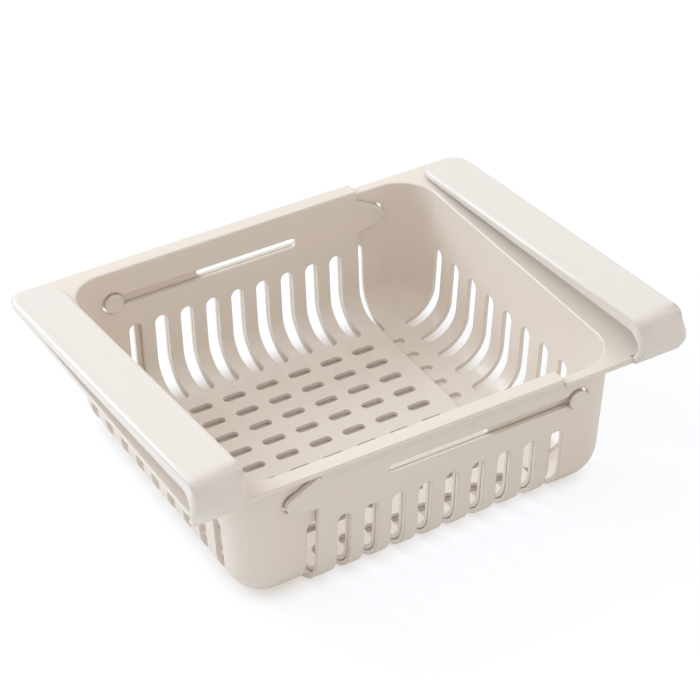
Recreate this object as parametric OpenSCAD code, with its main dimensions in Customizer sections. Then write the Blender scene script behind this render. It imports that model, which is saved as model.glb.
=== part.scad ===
// Telescoping basket drawer that hangs under a refrigerator shelf.
// Two half baskets slide into each other along X. The part is drawn closed, on z = 0.

// Which sub-part to draw

/* [Basket] */
// Inside half length at the foot of the end walls
half_length = 77; // [60:1:110]
// Inside half width of the inner basket at the foot of its side walls
half_width = 67.5; // [50:0.5:90]
// Inside depth from the inner basket's floor to its rim
depth = 57.1; // [45:0.1:80]
// Wall and floor thickness
wall = 1.8; // [1.4:0.1:2.4]
// Gap between the two baskets where one lies in the other
sliding_gap = 0.35; // [0.3:0.05:0.8]
// Outward lean of every wall, in degrees
draft = 3; // [1:0.5:5]
// Inside radius between wall and floor of the inner basket
foot_radius = 11.5; // [8:0.5:11.5]
// Inside corner radius of the inner basket at its foot, seen from above
corner_radius = 11.4; // [11:0.2:16]
// How far each basket reaches past the middle when the drawer is closed
reach = 51; // [40:1:58]
// Travel of the drawer from closed to open
travel = 80; // [40:1:80]

/* [Rims and shelves] */
// How far the rims reach out from the foot of the inner basket's side walls
rim_reach = 9.3; // [5.5:0.1:12.5]
// Thickness of the rims
rim_thick = 2; // [1.6:0.1:3]
// How far the outer basket's rim stands back where the inner basket's rim lies over it
rim_tuck = 1; // [0.3:0.1:2]
// Gap between the inner basket's rim and the outer basket's rim under it
rim_gap = 0.5; // [0.3:0.1:1]
// How far the end shelves reach out from the foot of the end walls
shelf_width = 24.4; // [18:0.1:33]
// Corner radius of the end shelves
shelf_corner = 6; // [2:0.5:10]
// Gap between the inner basket's rim end and the wide part of the outer basket's rim
rim_end_gap = 1.3; // [0.5:0.1:4]
// Rounding of the inside edge of the rims
rim_round = 0.8; // [0.4:0.1:1.2]

/* [Openings] */
// Pitch of the slots in the side walls
side_pitch = 11.44; // [9:0.01:14]
// Number of slots in each side wall
side_slots = 9; // [5:1:9]
// Pitch of the slots in the end walls
end_pitch = 12.79; // [10:0.01:13]
// Number of slots in each end wall
end_slots = 9; // [5:2:9]
// Width of the wall slots
slot_width = 5.8; // [4:0.1:7]
// Height of the slots' tops above the inner basket's floor
slot_top = 30.2; // [20:0.1:36]
// Length of a side slot's part in the floor, from the foot of the wall
side_slot_run = 15.8; // [8:0.1:20]
// Length of an end slot's part in the floor, from the foot of the wall
end_slot_run = 13.4; // [8:0.1:20]
// Pitch of the floor holes along the drawer
hole_pitch_x = 15; // [12:0.1:15]
// Pitch of the floor holes across the drawer
hole_pitch_y = 10.7; // [8:0.1:11]
// Columns of floor holes in each basket
hole_columns = 7; // [4:1:7]
// Rows of floor holes
hole_rows = 9; // [5:2:9]
// Length of a floor hole
hole_length = 9.8; // [6:0.1:12]
// Width of a floor hole
hole_width = 3.7; // [2.5:0.1:5]

/* [Slide stops] */
// Distance of the stop buttons from the middle when closed
button_x = 60; // [56:0.5:61]
// Height of the long slots above the inner basket's floor
guide_height = 43; // [38:0.5:46]
// Height of a long slot
guide_slot = 4.5; // [4.2:0.1:6]
// Radius of a long slot's wide end, which lets a button's head through
keyhole_radius = 4.7; // [4.3:0.1:5.2]
// Radius of the lug that carries a button
lug_radius = 3.9; // [3.6:0.1:5]
// Height of a lug's foot on the free edge of a side wall, below the rim
lug_foot = 15; // [10:0.5:18]
// Diameter of a button's neck
neck_d = 4; // [3:0.1:4]
// Diameter of a button's head
head_d = 8; // [6:0.1:8.4]
// Thickness of a button's head
head_thick = 1; // [0.8:0.1:2.5]
// Gap between a button's head and the wall that it slides along
head_gap = 0.3; // [0.2:0.05:1]

/* [Hanger rails] */
// Distance of a rail's near side from the foot of the end wall
rail_set = 5.5; // [5.3:0.1:9]
// How far a rail's far side stands out over the end shelf's edge
rail_over = 1.2; // [-1.4:0.1:10.6]
// Height of a rail's near end above its shelf
rail_rise = 17; // [12:0.1:20]
// How far short of the end shelf's back edge a rail ends
rail_short = 2.8; // [0.8:0.1:16.8]
// Depth of the lips turned down along a rail, at its near end
rail_lip = 5.8; // [3:0.1:7]
// Depth of the lips at the back of a rail
lip_back = 2.4; // [2:0.1:5]
// Free space under the lips at the back of a rail
rail_pinch = 0.4; // [0.3:0.1:3]
// Radius over which a rail turns down into its nose
rail_roll = 8; // [5:0.5:9]
// Lean of the nose, in degrees; its foot stands back over the shelf's edge
nose_lean = 15; // [8:1:20]
// Corner radius at the back of a rail, seen from above
rail_corner = 8.5; // [4:0.5:9]
// Corner radius of a rail's nose, seen from above
front_corner = 3.5; // [2.5:0.5:6]
// Rounding along the top edges of a rail
rail_edge = 1.4; // [0.6:0.1:1.6]
// Radius of the bend between a rail's lips and its nose
lip_bend = 5; // [1:0.5:6]
// Width of the nose's sides, all of it in front of the end shelf
nose_side = 3.4; // [3:0.1:4]
// Length of the foot that is let into the underside of the end shelf
foot_length = 12; // [8:0.5:16]
// Thickness of that foot
foot_thick = 0.8; // [0.6:0.1:1]
// Play round the foot in its recess
foot_play = 0.1; // [0.05:0.05:0.3]
// Distance of the foot's sides from a rail's sides
foot_inset = 2.5; // [1.9:0.1:5]
// Diameter of the pegs on the foot
peg_d = 3; // [2:0.1:4]
// Distance of the pegs from a rail's sides
peg_side = 6; // [5:0.1:8]
// Distance of the pegs from the shelf's front edge
peg_back = 7; // [4:0.1:8]
// Height of the pegs
peg_high = 0.6; // [0.4:0.1:0.7]

/* [Hidden] */
$fn = 96;
far = 300;                               // longer than anything that is cut
past = 1;                                // how far a cut runs past a face
press = 0.02;                            // radial play of a pressed pin
lean = tan(draft);
tuck = tan((90 - draft) / 2);            // tangent length of a foot radius of 1
step = wall + sliding_gap;               // from one basket's wall to the other's
floor_inner = wall + step;               // floor tops above z = 0
floor_outer = wall;
rim_inner = floor_inner + depth;
rim_outer = rim_inner - rim_thick - rim_gap;
width_outer = half_width + step * tuck;
side_slot_end = half_width - side_slot_run;
end_slot_end = half_length - end_slot_run;
slot_top_z = floor_inner + slot_top;
guide_z = floor_inner + guide_height;
guide_stop = button_x - travel;
slot_round = slot_width / 2;
rim_half_width = half_width + rim_reach;
tucked_half_width = rim_half_width - rim_tuck;
shelf_reach = half_length + shelf_width;
rail_inside = half_length + rail_set;
rail_outside = shelf_reach + rail_over;
rail_front = rim_half_width + nose_side; // a rail's foremost line is at y = -rail_front
rail_back = rim_half_width - rail_short; // and its back end at y = rail_back
overrun = 20;                            // how far the rails' forms run past their ends
rail_slope = (rail_rise - rail_pinch - lip_back) / (rail_front + rail_back);
lip_slope = (rail_rise - rail_pinch - rail_lip) / (rail_front + rail_back);
pitch = atan(rail_slope);
rail_long = (rail_front + rail_back) / cos(pitch);
under = rail_rise - rail_lip;            // height of the lips at the near end
seat_y = nose_face(nose_side - rail_front, lip_bend, under, lip_slope, -rim_thick);
lug_high = rim_outer - rim_thick;
lug_low = lug_high - lug_foot;
form_end = button_x + lug_radius + past; // where the baskets' forms end, beyond the lugs
flare_drop = 0.85 * rim_round;           // depth of the axis of the rims' rounding
head_edge = head_thick / 3;              // rounding of a button's head

// ---- small helpers ----

module both_sides() {
    children();
    mirror([0, 1, 0]) children();
}

// Bar with round ends from x0 to x1.
module stadium(x0, x1, w) {
    translate([x0 + w / 2, -w / 2]) square([x1 - x0 - w, w]);
    for (x = [x0 + w / 2, x1 - w / 2]) translate([x, 0]) circle(w / 2);
}

// Plan outline from y0 to y1 with radius r0 at the front and r1 at the back corners.
module plan_outline(x0, x1, y0, y1, r0, r1) {
    translate([x0, y0 + r0]) square([x1 - x0, y1 - r1 - y0 - r0]);
    translate([x0 + r0, y0]) square([x1 - x0 - 2 * r0, 2 * r0]);
    translate([x0 + r1, y1 - 2 * r1]) square([x1 - x0 - 2 * r1, 2 * r1]);
    for (x = [x0 + r0, x1 - r0]) translate([x, y0 + r0]) circle(r0);
    for (x = [x0 + r1, x1 - r1]) translate([x, y1 - r1]) circle(r1);
}

// Turns a drawing of x and z so that it is pulled along y through the whole part.
module through_y() {
    rotate([90, 0, 0]) linear_extrude(2 * far, center = true) children();
}

// Turns a drawing of y and z so that it is pulled along +x from x0.
module along_x(x0, length) {
    translate([x0, 0, 0]) rotate([90, 0, 90]) linear_extrude(length) children();
}

// ---- the form of a basket, closed at +X and open at -X ----

// Filled half section of a basket, counted from its corner's axis: the wall's foot lies at
// `foot`, the floor at z, and `skin` is added all round. A rim above it opens by rim_round.
module half_section(foot, r, z, top, skin) {
    c = foot - r * tuck;
    zc = z + r;
    rr = r + skin;
    x_foot = c + rr * cos(draft);
    z_foot = zc - rr * sin(draft);
    x_top = x_foot + (top - z_foot) * lean;
    polygon([[0, z - skin], [c, z - skin], [x_foot, z_foot], [x_top, top], [0, top]]);
    intersection() {
        translate([c, zc]) circle(rr);
        translate([c, z - skin]) square([rr, z_foot - z + skin]);
    }
}

// What opens the inside of a rim whose top is at z = top; the arc starts flush with the wall.
module rim_flare(foot, z, top) {
    zc = top - flare_drop;
    z0 = zc + rim_round * sin(draft);
    x0 = foot + (z0 - z) * lean;
    difference() {
        translate([x0 - past, z0]) square([past + rim_round, top + past - z0]);
        translate([x0 + rim_round * cos(draft), zc]) circle(rim_round);
    }
}

// Carries a drawing of x and z round a basket's two sides, its corners and its closed end;
// the drawing's x is counted outward from the corner's axis.
module round_the_basket(foot_y, corner) {
    ax = half_length - corner;
    ay = foot_y - corner;
    both_sides() {
        translate([ax, ay, 0]) rotate_extrude(angle = 90) children();
        translate([0, ay, 0]) along_x(-form_end, ax + form_end) children();
    }
    translate([ax, ay, 0]) rotate([90, 0, 0]) linear_extrude(2 * ay) children();
}

// Solid form of a basket; with skin = wall it is the outside, with skin = 0 the inside.
module basket_form(foot_y, corner, r, z, top, skin) {
    ay = foot_y - corner;
    round_the_basket(foot_y, corner) half_section(corner, r, z, top, skin);
    translate([-form_end, -ay, z - skin])
        cube([half_length - corner + form_end, 2 * ay, top - z + skin]);
}

// Rim plate with its end shelf, seen from above.
module rim_plan(side_half_width) {
    w = rim_half_width;
    r = shelf_corner;
    x0 = reach + rim_end_gap;
    translate([-reach, -side_half_width]) square([reach + x0, 2 * side_half_width]);
    translate([x0, -w]) square([shelf_reach - r - x0, 2 * w]);
    translate([x0, r - w]) square([shelf_reach - x0, 2 * (w - r)]);
    both_sides() translate([shelf_reach - r, w - r]) circle(r);
}

// What a basket keeps, seen from the side: all beyond its free edge, and the lug.
module side_view_kept() {
    to_high = lug_tangent(lug_high - guide_z, 1);
    to_low = lug_tangent(lug_low - guide_z, -1);
    translate([-reach, -past]) square([far, far]);
    translate([-button_x, guide_z]) circle(lug_radius);
    polygon([[-reach, lug_high],
             [-button_x + lug_radius * cos(to_high), guide_z + lug_radius * sin(to_high)],
             [-button_x, guide_z],
             [-button_x + lug_radius * cos(to_low), guide_z + lug_radius * sin(to_low)],
             [-reach, lug_low]]);
}

// Angle at which a line from the free edge, dz above the button, touches the lug's circle.
function lug_tangent(dz, side) =
    let (dx = button_x - reach) atan2(dz, dx) + side * acos(lug_radius / norm([dx, dz]));

// Upright slot of a wall, from below the floor to its round top.
module slot_upright() {
    translate([-slot_round, -past]) square([slot_width, slot_top_z - slot_round + past]);
    translate([0, slot_top_z - slot_round]) circle(slot_round);
}

module side_slots_cut() {
    intersection() {
        through_y() for (i = [0 : side_slots - 1])
            translate([side_slot_x(i), 0]) slot_upright();
        translate([0, 0, -past]) linear_extrude(far) both_sides()
            for (i = [0 : side_slots - 1]) translate([side_slot_x(i), 0])
                rotate(90) stadium(side_slot_end, far, slot_width);
    }
}

function side_slot_x(i) = (side_slots / 2 - i) * side_pitch;

module end_slots_cut() {
    first = -(end_slots - 1) / 2;
    intersection() {
        along_x(0, far) for (i = [first : -first]) translate([i * end_pitch, 0]) slot_upright();
        translate([0, 0, -past]) linear_extrude(far)
            for (i = [first : -first]) translate([0, i * end_pitch])
                stadium(end_slot_end, far, slot_width);
    }
}

module floor_holes_cut() {
    side_row = (hole_rows - 1) / 2;
    translate([0, 0, -past]) linear_extrude(floor_inner + 2 * past)
        for (i = [0 : hole_columns - 1], j = [-side_row : side_row])
            translate([(hole_columns / 2 - i) * hole_pitch_x, j * hole_pitch_y])
                stadium(-hole_length / 2, hole_length / 2, hole_width);
}

// Long slot on each side, in which the other basket's button slides.
module guide_slots_cut() {
    through_y() {
        translate([0, guide_z])
            stadium(guide_stop - guide_slot / 2, button_x + guide_slot / 2, guide_slot);
        translate([button_x, guide_z]) circle(keyhole_radius);
    }
}

// Frame of a button: z = 0 on the inner basket's inside face, z outward through the walls.
module at_button(x) {
    translate([x, half_width + guide_height * lean, guide_z]) rotate([-90 - draft, 0, 0]) children();
}

// Where the hanger rail's pegs stand in the near end of a shelf.
module at_pegs(z) {
    for (x = [rail_inside + peg_side, rail_outside - peg_side])
        translate([x, peg_back - rim_half_width, z]) children();
}

// The hanger rail's foot, on z = 0, widened by `play` on three sides.
module foot(play) {
    x = rail_inside + foot_inset - play;
    translate([x, seat_y - wall, 0])
        cube([rail_outside - foot_inset + play - x,
              foot_length - rim_half_width - seat_y + wall + play, foot_thick]);
}

// Seat of a hanger rail in the shelf whose top is at z = 0: room for the nose at the front
// edge, a recess for the foot, and holes for its pegs.
module rail_seat_cut() {
    translate([rail_inside - foot_play, -far, -rim_thick - past])
        cube([far, far + seat_y, rim_thick + 2 * past]);
    translate([0, 0, -rim_thick]) {
        foot(foot_play);
        translate([0, 0, -foot_thick / 2]) foot(foot_play);
        at_pegs(0) cylinder(d = peg_d + 2 * press, h = foot_thick + peg_high + foot_play);
    }
}

// One basket: foot and corner of its walls, foot radius r, floor top at z, rim top at top.
module basket(foot_y, corner, r, z, top, side_half_width) {
    difference() {
        intersection() {
            union() {
                basket_form(foot_y, corner, r, z, top, wall);
                translate([0, 0, top - rim_thick])
                    linear_extrude(rim_thick) rim_plan(side_half_width);
            }
            through_y() side_view_kept();
        }
        basket_form(foot_y, corner, r, z, top + past, 0);
        round_the_basket(foot_y, corner) rim_flare(corner, z, top);
        side_slots_cut();
        end_slots_cut();
        floor_holes_cut();
        guide_slots_cut();
        both_sides() at_button(-button_x)
            translate([0, 0, -past])
                cylinder(d = neck_d + 2 * press, h = wall + step + 2 * past);
        translate([0, 0, top]) rail_seat_cut();
    }
}

// ---- a hanger rail at +X, with z = 0 on the top of its shelf ----

// Frame on a rail's top line: y runs down the slope from the near end, z is square to it.
module on_slope() {
    translate([0, -rail_front, rail_rise]) rotate([-pitch, 0, 0]) children();
}

// Centre of a roll of radius r whose foremost line is at y0, below a line that is `high` at
// the near end and falls by `slope` per millimetre.
function roll_centre(y0, r, high, slope) =
    [y0 + r, high - slope * (y0 + r + rail_front) - r / cos(atan(slope))];

// Where the leaning face under that roll stands at height z.
function nose_face(y0, r, high, slope, z) =
    let (c = roll_centre(y0, r, high, slope))
    c[0] - r * cos(nose_lean) + (c[1] - r * sin(nose_lean) - z) * tan(nose_lean);

// All that lies behind that face and below that line.
module rolled_wedge(y0, r, high, slope) {
    c = roll_centre(y0, r, high, slope);
    turn = atan(slope);
    y1 = rail_back + overrun;
    translate(c) circle(r);
    polygon([[nose_face(y0, r, high, slope, -overrun), -overrun],
             [c[0] - r * cos(nose_lean), c[1] - r * sin(nose_lean)], c,
             [c[0] + r * sin(turn), c[1] + r * cos(turn)],
             [y1, high - slope * (y1 + rail_front)], [y1, -overrun]]);
}

// A rail's side: rolled down at the near end into the nose, which ends level with the
// underside of the shelf.
module rail_side_view() {
    difference() {
        rolled_wedge(-rail_front, rail_roll, rail_rise, rail_slope);
        rolled_wedge(nose_side - rail_front, lip_bend, under, lip_slope);
        translate([-far, -far]) square([2 * far, far - rim_thick]);
    }
}

// Section of a rail's edge, counted from its back corner's axis.
module edge_section() {
    e = rail_edge;
    translate([0, -far]) square([rail_corner, far - e]);
    translate([0, -far]) square([rail_corner - e, far]);
    translate([rail_corner - e, -e]) circle(e);
}

// Block as long and wide as a rail with its top edges rounded, in the frame on_slope.
module rounded_block() {
    side = (rail_outside - rail_inside) / 2 - rail_corner;
    run = rail_long + overrun;
    translate([(rail_inside + rail_outside) / 2, rail_long - rail_corner, 0]) {
        for (flip = [0, 1]) mirror([flip, 0, 0]) translate([side, 0, 0]) {
            rotate_extrude(angle = 90) edge_section();
            rotate([90, 0, 0]) linear_extrude(run) edge_section();
        }
        translate([-side, 0, 0]) rotate([90, 0, 90]) linear_extrude(2 * side) edge_section();
        translate([-side, -run, -far]) cube([2 * side, run, far]);
    }
}

// Inside of a rail, one wall's thickness in from the outside all round.
module rail_hollow() {
    r = rail_corner - wall;
    intersection() {
        on_slope() translate([0, 0, -far]) linear_extrude(2 * far)
            plan_outline(rail_inside + wall, rail_outside - wall, -overrun, rail_long - wall,
                         r, r);
        along_x(0, far) rolled_wedge(wall - rail_front, rail_roll - wall,
                                     rail_rise - wall / cos(pitch), rail_slope);
    }
}

module rail() {
    difference() {
        intersection() {
            on_slope() rounded_block();
            translate([0, 0, -overrun]) linear_extrude(far)
                plan_outline(rail_inside, rail_outside, -rail_front, rail_back + overrun,
                             front_corner, front_corner);
            along_x(0, far) rail_side_view();
        }
        rail_hollow();
    }
    translate([0, 0, -rim_thick]) {
        foot(0);
        at_pegs(0) cylinder(d = peg_d, h = foot_thick + peg_high);
    }
}

// ---- stop buttons ----

// Neck from z = a to z = b in the button's frame.
module neck(a, b) {
    translate([0, 0, a]) cylinder(d = neck_d, h = b - a);
}

// Head with its flat face on z = 0 and a rounded edge.
module head() {
    rotate_extrude() {
        square([head_d / 2, head_thick - head_edge]);
        square([head_d / 2 - head_edge, head_thick]);
        translate([head_d / 2 - head_edge, head_thick - head_edge]) circle(head_edge);
    }
}

// The inner basket's buttons pass outward through the outer basket's long slots.
module inner_button() {
    head_at = wall + step + head_gap;
    color([0.9, 0.87, 0.84]) at_button(button_x) {
        neck(0, head_at + head_edge);
        translate([0, 0, head_at]) head();
    }
}

// The outer basket's buttons pass inward through the inner basket's long slots.
module outer_button() {
    color([0.9, 0.87, 0.84]) at_button(-button_x) {
        neck(-head_gap - head_edge, wall + step);
        translate([0, 0, -head_gap]) rotate([180, 0, 0]) head();
    }
}

// ---- the sub-parts ----

module inner_basket_half() {
    color([0.93, 0.9, 0.87]) mirror([1, 0, 0])
        basket(half_width, corner_radius, foot_radius, floor_inner, rim_inner, rim_half_width);
}

module outer_basket_half() {
    color([0.93, 0.9, 0.87])
        basket(width_outer, corner_radius + step * tuck, foot_radius + step, floor_outer,
               rim_outer, tucked_half_width);
}

module left_hanger_rail() {
    color([0.93, 0.9, 0.87]) translate([0, 0, rim_inner]) mirror([1, 0, 0]) rail();
}

module right_hanger_rail() {
    color([0.93, 0.9, 0.87]) translate([0, 0, rim_outer]) rail();
}

module inner_near_button() { mirror([0, 1, 0]) inner_button(); }
module inner_far_button() { inner_button(); }
module outer_near_button() { mirror([0, 1, 0]) outer_button(); }
module outer_far_button() { outer_button(); }

inner_basket_half();
outer_basket_half();
left_hanger_rail();
right_hanger_rail();
inner_near_button();
inner_far_button();
outer_near_button();
outer_far_button();
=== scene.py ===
"""An extendable basket drawer that hangs under a refrigerator shelf, in cream plastic."""

import math

import bmesh
import bpy
from mathutils import Euler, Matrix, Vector


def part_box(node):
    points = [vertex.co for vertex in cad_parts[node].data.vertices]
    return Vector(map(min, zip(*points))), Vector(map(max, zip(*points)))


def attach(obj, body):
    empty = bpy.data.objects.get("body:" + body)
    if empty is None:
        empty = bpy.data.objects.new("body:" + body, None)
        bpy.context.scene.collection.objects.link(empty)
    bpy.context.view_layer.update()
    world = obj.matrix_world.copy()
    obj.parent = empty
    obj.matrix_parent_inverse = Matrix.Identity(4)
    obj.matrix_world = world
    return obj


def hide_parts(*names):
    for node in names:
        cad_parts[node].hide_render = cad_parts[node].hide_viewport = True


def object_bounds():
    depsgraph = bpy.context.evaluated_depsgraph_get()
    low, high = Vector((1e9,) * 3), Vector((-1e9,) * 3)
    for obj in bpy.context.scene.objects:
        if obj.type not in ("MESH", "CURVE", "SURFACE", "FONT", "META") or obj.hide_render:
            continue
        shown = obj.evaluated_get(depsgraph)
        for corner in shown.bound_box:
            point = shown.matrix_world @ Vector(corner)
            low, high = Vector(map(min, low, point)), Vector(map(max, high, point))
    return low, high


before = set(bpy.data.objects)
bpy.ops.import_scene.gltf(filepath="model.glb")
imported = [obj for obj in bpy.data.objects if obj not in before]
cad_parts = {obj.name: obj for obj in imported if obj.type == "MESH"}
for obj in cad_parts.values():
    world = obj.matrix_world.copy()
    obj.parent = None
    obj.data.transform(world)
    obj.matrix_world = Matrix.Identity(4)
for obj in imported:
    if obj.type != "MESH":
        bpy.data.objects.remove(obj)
cad_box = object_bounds()

# ---------------------------------------------------------------------------------------------
# The two basket halves. Each is one thin-walled moulding of cream polypropylene with a satin
# skin, drawn from its mould straight upward. One lies in the other, and the long slots in their
# sides guide it.
# ---------------------------------------------------------------------------------------------


class Signal:
    """A node's output that takes part in Python sums; each sum adds its Math node."""

    def __init__(self, finish, socket):
        self.finish = finish
        self.socket = socket

    def maths(self, operation, *terms):
        return self.finish.node("Math", {"operation": operation}, dict(enumerate(terms)))

    def __add__(self, other):
        return self.maths("ADD", self, other)

    def __sub__(self, other):
        return self.maths("SUBTRACT", self, other)

    def __mul__(self, other):
        return self.maths("MULTIPLY", self, other)

    def __radd__(self, other):
        return self.maths("ADD", other, self)

    def __rsub__(self, other):
        return self.maths("SUBTRACT", other, self)

    def __rmul__(self, other):
        return self.maths("MULTIPLY", other, self)


class Finish:
    """The nodes of a new material or world. node() adds one and gives back one of its outputs."""

    def __init__(self, owner):
        self.owner = owner
        self.owner.use_nodes = True
        self.tree = self.owner.node_tree
        self.tree.nodes.clear()

    def node(self, kind, settings, values, output=0):
        node = self.tree.nodes.new("ShaderNode" + kind)
        for name, setting in settings.items():
            setattr(node, name, setting)
        for name, value in values.items():
            if isinstance(value, Signal):
                self.tree.links.new(value.socket, node.inputs[name])
            else:
                node.inputs[name].default_value = value
        return Signal(self, node.outputs[output])

    def close(self, shader, kind="Material"):
        out = self.tree.nodes.new("ShaderNodeOutput" + kind)
        self.tree.links.new(shader.socket, out.inputs["Surface"])
        return self.owner


SMEAR_GLOSS = 0.12
POLISH_STRETCH = (1.0, 1.0, 0.28)
GRAIN_DEPTH = 0.00004

# The places are for one corner of the drawer; the other corners mirror them.
PIN_PLACE = (0.060, 0.0718, 0.04695)
PIN_FLUSH = 0.0032
PIN_DEPTH_WEIGHT = (1.0, 0.3, 1.0)
RAIL_MIDDLE = 0.09255
DIP_INNER = 0.0058
DIP_OUTER = 0.0084


def moulded_plastic(name, color, shade, roughness, ripple, edge, dip=0.0):
    """Cream polypropylene: faint clouds of colour, a fine grain and slow ripples in the skin."""
    finish = Finish(bpy.data.materials.new(name))
    place = finish.node("TexCoord", {}, {}, "Object")

    clouds = finish.node("TexNoise", {}, {"Vector": place, "Scale": 22.0, "Detail": 2.0})
    tint = finish.node("Mix", {"data_type": "RGBA"},
                       {"Factor": clouds, 6: (*color, 1.0), 7: (*shade, 1.0)}, 2)

    smear = finish.node("TexNoise", {}, {"Vector": place, "Scale": 60.0, "Detail": 3.0})
    gloss = roughness + SMEAR_GLOSS * (smear - 0.5)

    # The skin follows the mould's polishing marks, which run upward on the walls.
    stretched = finish.node("Mapping", {}, {"Vector": place, "Scale": POLISH_STRETCH})
    waves = finish.node("TexNoise", {}, {"Vector": stretched, "Scale": 95.0, "Detail": 1.0})
    grain = finish.node("TexNoise", {}, {"Vector": place, "Scale": 1800.0, "Detail": 2.0})

    # The moulded edges are soft, but a pressed pin ends flush with its lug and leaves no rim.
    soft = finish.node("Bevel", {"samples": 6}, {"Radius": edge})
    plain = finish.node("NewGeometry", {}, {}, "Normal")
    across = finish.node("VectorMath", {"operation": "ABSOLUTE"}, {0: place})
    from_pin = finish.node("VectorMath", {"operation": "SUBTRACT"}, {0: across, 1: PIN_PLACE})
    flat = finish.node("VectorMath", {"operation": "MULTIPLY"},
                       {0: from_pin, 1: PIN_DEPTH_WEIGHT})
    distance = finish.node("VectorMath", {"operation": "LENGTH"}, {0: flat}, "Value")
    flush = distance.maths("LESS_THAN", distance, PIN_FLUSH)
    edges = finish.node("Mix", {"data_type": "VECTOR"}, {0: flush, 4: soft, 5: plain}, 1)

    # A rail's top dips a little between two soft edges.
    if dip:
        sideways = finish.node("SeparateXYZ", {}, {0: across}, "X")
        from_middle = sideways.maths("ABSOLUTE", sideways - RAIL_MIDDLE)
        rise = finish.node("MapRange", {"interpolation_type": "SMOOTHSTEP"},
                           {"Value": from_middle, "From Min": DIP_INNER, "From Max": DIP_OUTER})
        edges = finish.node("Bump", {}, {"Height": rise, "Strength": 1.0, "Distance": dip,
                                         "Normal": edges})
    rippled = finish.node("Bump", {}, {"Height": waves, "Strength": 1.0, "Distance": ripple,
                                       "Normal": edges})
    grained = finish.node("Bump", {}, {"Height": grain, "Strength": 0.25,
                                       "Distance": GRAIN_DEPTH, "Normal": rippled})
    return finish.close(finish.node("BsdfPrincipled", {}, {
        "Base Color": tint,
        "Roughness": gloss,
        "Normal": grained,
        "IOR": 1.5,
        "Coat Weight": 0.3,
        "Coat Roughness": 0.16,
        "Subsurface Weight": 0.12,
        "Subsurface Radius": (1.0, 0.66, 0.42),
        "Subsurface Scale": 0.004,
    }))


def dress(node, material):
    """Gives a CAD node its finish."""
    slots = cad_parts[node].data.materials
    slots.clear()
    slots.append(material)


shell_plastic = moulded_plastic("shell plastic", (0.80, 0.73, 0.665), (0.785, 0.705, 0.635),
                                roughness=0.33, ripple=0.00022, edge=0.0006)
for half in ("outer_basket_half", "inner_basket_half"):
    dress(half, shell_plastic)

# ---------------------------------------------------------------------------------------------
# The stop buttons: small mushroom-headed pins of the same plastic, pressed into the lugs at the
# baskets' free edges, with their heads behind the long slots.
# ---------------------------------------------------------------------------------------------

button_plastic = moulded_plastic("button plastic", (0.80, 0.73, 0.665), (0.785, 0.705, 0.635),
                                 roughness=0.36, ripple=0.00004, edge=0.0002)
for button in ("inner_near_button", "inner_far_button", "outer_near_button", "outer_far_button"):
    dress(button, button_plastic)

# ---------------------------------------------------------------------------------------------
# The hanger rails: shallow channels moulded of the same plastic and fixed over the end shelves
# with a foot and two pegs. Their noses swell a little in front, and their tops are polished.
# ---------------------------------------------------------------------------------------------

NOSE_BACK = -0.066
NOSE_FADE = 0.008
NOSE_HEIGHT = 0.0165
NOSE_SWELL = 0.0019
SWELL_START = 0.08
SIDE_SWELL = 0.7
OUTER_SIDE = RAIL_MIDDLE + 0.006
LEVELS = 12
MERGE_DISTANCE = 0.000001
CUT_TOLERANCE = 0.0000001

# The rails' plastic is a darker, cooler copy of the shell's. It is painted shade with a painted
# cool tint of the light on their brightly lit tops.
rail_plastic_painted_shade = moulded_plastic("rail plastic", (0.77, 0.72, 0.68), (0.755, 0.70, 0.655),
                               roughness=0.31, ripple=0.00008, edge=0.0009, dip=0.00016)


def hanger_rail(name, node, body):
    """The CAD rail's own surface, merged, cut into levels at its nose and swelled there."""
    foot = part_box(node)[0][2]
    shape = bmesh.new()
    shape.from_mesh(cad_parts[node].data)
    bmesh.ops.remove_doubles(shape, verts=shape.verts, dist=MERGE_DISTANCE)
    for level in range(1, LEVELS):
        nose = [face for face in shape.faces if face.calc_center_bounds().y < NOSE_BACK]
        edges = {edge for face in nose for edge in face.edges}
        verts = {vert for face in nose for vert in face.verts}
        bmesh.ops.bisect_plane(shape, geom=nose + list(edges) + list(verts), dist=CUT_TOLERANCE,
                               plane_co=(0, 0, foot + NOSE_HEIGHT * level / LEVELS),
                               plane_no=(0, 0, 1))
    for vert in shape.verts:
        height = (vert.co.z - foot) / NOSE_HEIGHT
        if vert.co.y < NOSE_BACK and height < 1.0:
            toward = min(1.0, (NOSE_BACK - vert.co.y) / NOSE_FADE)
            bulge = math.sin(math.pi * (SWELL_START + (1.0 - SWELL_START) * height)) ** 2
            swell = NOSE_SWELL * toward * bulge
            vert.co.y -= swell
            if abs(vert.co.x) > OUTER_SIDE:
                vert.co.x += math.copysign(SIDE_SWELL * swell, vert.co.x)
    mesh = bpy.data.meshes.new(name)
    shape.to_mesh(mesh)
    shape.free()
    mesh.materials.append(rail_plastic_painted_shade)
    rail = bpy.data.objects.new(name, mesh)
    bpy.context.collection.objects.link(rail)
    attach(rail, body)
    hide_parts(node)


hanger_rail("left_rail_skin", "left_hanger_rail", "inner_half")
hanger_rail("right_rail_skin", "right_hanger_rail", "outer_half")

# ---------------------------------------------------------------------------------------------
# The studio: pale paper under the drawer, a cool window behind it on the left, a weak reflecting
# wall on the left, warm bright air round it, and a camera at the photograph's place.
# ---------------------------------------------------------------------------------------------

FLOOR_SIZE = 6.0
# Painted shade: a warm tan tone painted on the paper under the drawer, seen only by the camera.
PAINTED_SHADE_EDGE = (0.062, 0.052, 0.0)
PAINTED_SHADE_FADE = 0.020
PAINTED_SHADE_COLOR = (0.45, 0.36, 0.285, 1.0)
OPEN_COLOR = (0.765, 0.785, 0.81, 1.0)
CAMERA_PLACE = (-0.38683, -0.66130, 0.61144)
CAMERA_TURN = (53.542, 0.226, -30.869)
LENS = 128.55

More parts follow.
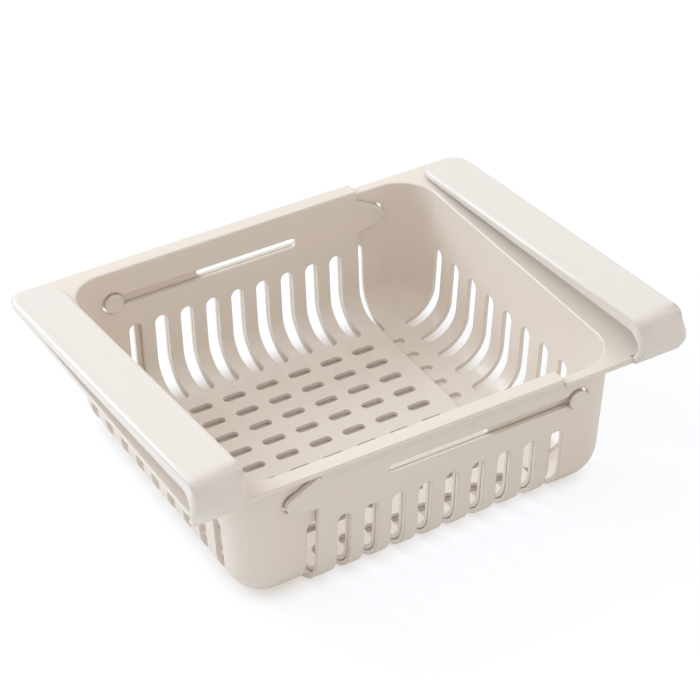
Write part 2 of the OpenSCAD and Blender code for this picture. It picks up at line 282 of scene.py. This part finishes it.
bpy.ops.mesh.primitive_plane_add(size=FLOOR_SIZE, location=(0, 0, cad_box[0][2]))
floor = bpy.context.object
floor.name = "studio_floor"
paper = Finish(bpy.data.materials.new("studio paper"))
seen = paper.node("LightPath", {}, {}, "Is Camera Ray")
matt = paper.node("BsdfDiffuse", {}, {"Color": (0.86, 0.86, 0.86, 1.0)})
faint = paper.node("BsdfDiffuse", {}, {"Color": (0.25, 0.25, 0.255, 1.0)})

# The camera sees the paper washed out by light, except under the drawer, where a warm tan shade
# is painted into the paper's glow by position.
spot = paper.node("TexCoord", {}, {}, "Object")
aside = paper.node("VectorMath", {"operation": "ABSOLUTE"}, {0: spot})
beyond = paper.node("VectorMath", {"operation": "SUBTRACT"}, {0: aside, 1: PAINTED_SHADE_EDGE})
outside = paper.node("VectorMath", {"operation": "MAXIMUM"}, {0: beyond, 1: (0.0, 0.0, 0.0)})
away = paper.node("VectorMath", {"operation": "LENGTH"}, {0: outside}, "Value")
outside_painted_shade = paper.node("MapRange", {"interpolation_type": "SMOOTHSTEP"},
                      {"Value": away, "From Max": PAINTED_SHADE_FADE})
glow_color_with_painted_shade = paper.node("Mix", {"data_type": "RGBA"},
                  {"Factor": outside_painted_shade, 6: PAINTED_SHADE_COLOR, 7: OPEN_COLOR}, 2)
glow = paper.node("Emission", {}, {"Color": glow_color_with_painted_shade})
washed = paper.node("AddShader", {}, {0: faint, 1: glow})
floor.data.materials.append(paper.close(
    paper.node("MixShader", {}, {0: seen, 1: matt, 2: washed})))


def soft_light(name, place, target, size, power, color):
    """A square light that faces a target."""
    data = bpy.data.lights.new(name, "AREA")
    data.size = size
    data.energy = power
    data.color = color
    lamp = bpy.data.objects.new(name, data)
    lamp.location = place
    lamp.rotation_euler = (Vector(target) - Vector(place)).to_track_quat("-Z", "Y").to_euler()
    bpy.context.collection.objects.link(lamp)


soft_light("window", place=(-1.0, 1.35, 1.15), target=(0, 0, 0.03), size=1.2, power=23,
           color=(0.73, 0.89, 1.0))
soft_light("wall", place=(-1.6, -0.1, 1.1), target=(0, 0, 0.05), size=1.2, power=4.0,
           color=(0.98, 0.97, 1.0))

# The air is bright all round and darker at the front on the left.
DARK_SIDE = (-0.80, -0.58, -0.10)
AIR_COLOR = (1.0, 0.968, 0.93, 1.0)

air = Finish(bpy.data.worlds.new("studio air"))
bpy.context.scene.world = air.owner
heading = air.node("TexCoord", {}, {}, "Generated")
toward_dark = air.node("VectorMath", {"operation": "DOT_PRODUCT"},
                       {0: heading, 1: DARK_SIDE}, "Value")
brightness = air.node("MapRange", {}, {"Value": toward_dark, "From Min": 0.1, "From Max": 1.0,
                                       "To Min": 0.92, "To Max": 0.36})
backdrop = air.node("LightPath", {}, {}, "Is Camera Ray")
air.close(air.node("Background", {}, {
    "Color": AIR_COLOR,
    "Strength": brightness.maths("MAXIMUM", brightness, backdrop),
}), "World")

camera_data = bpy.data.cameras.new("camera")
camera_data.lens = LENS
camera_data.sensor_width = 36.0
camera_data.clip_end = 20.0
camera = bpy.data.objects.new("camera", camera_data)
camera.location = CAMERA_PLACE
camera.rotation_euler = Euler([math.radians(turn) for turn in CAMERA_TURN], "XYZ")
bpy.context.collection.objects.link(camera)
bpy.context.scene.camera = camera
bpy.context.scene.view_settings.view_transform = "Standard"
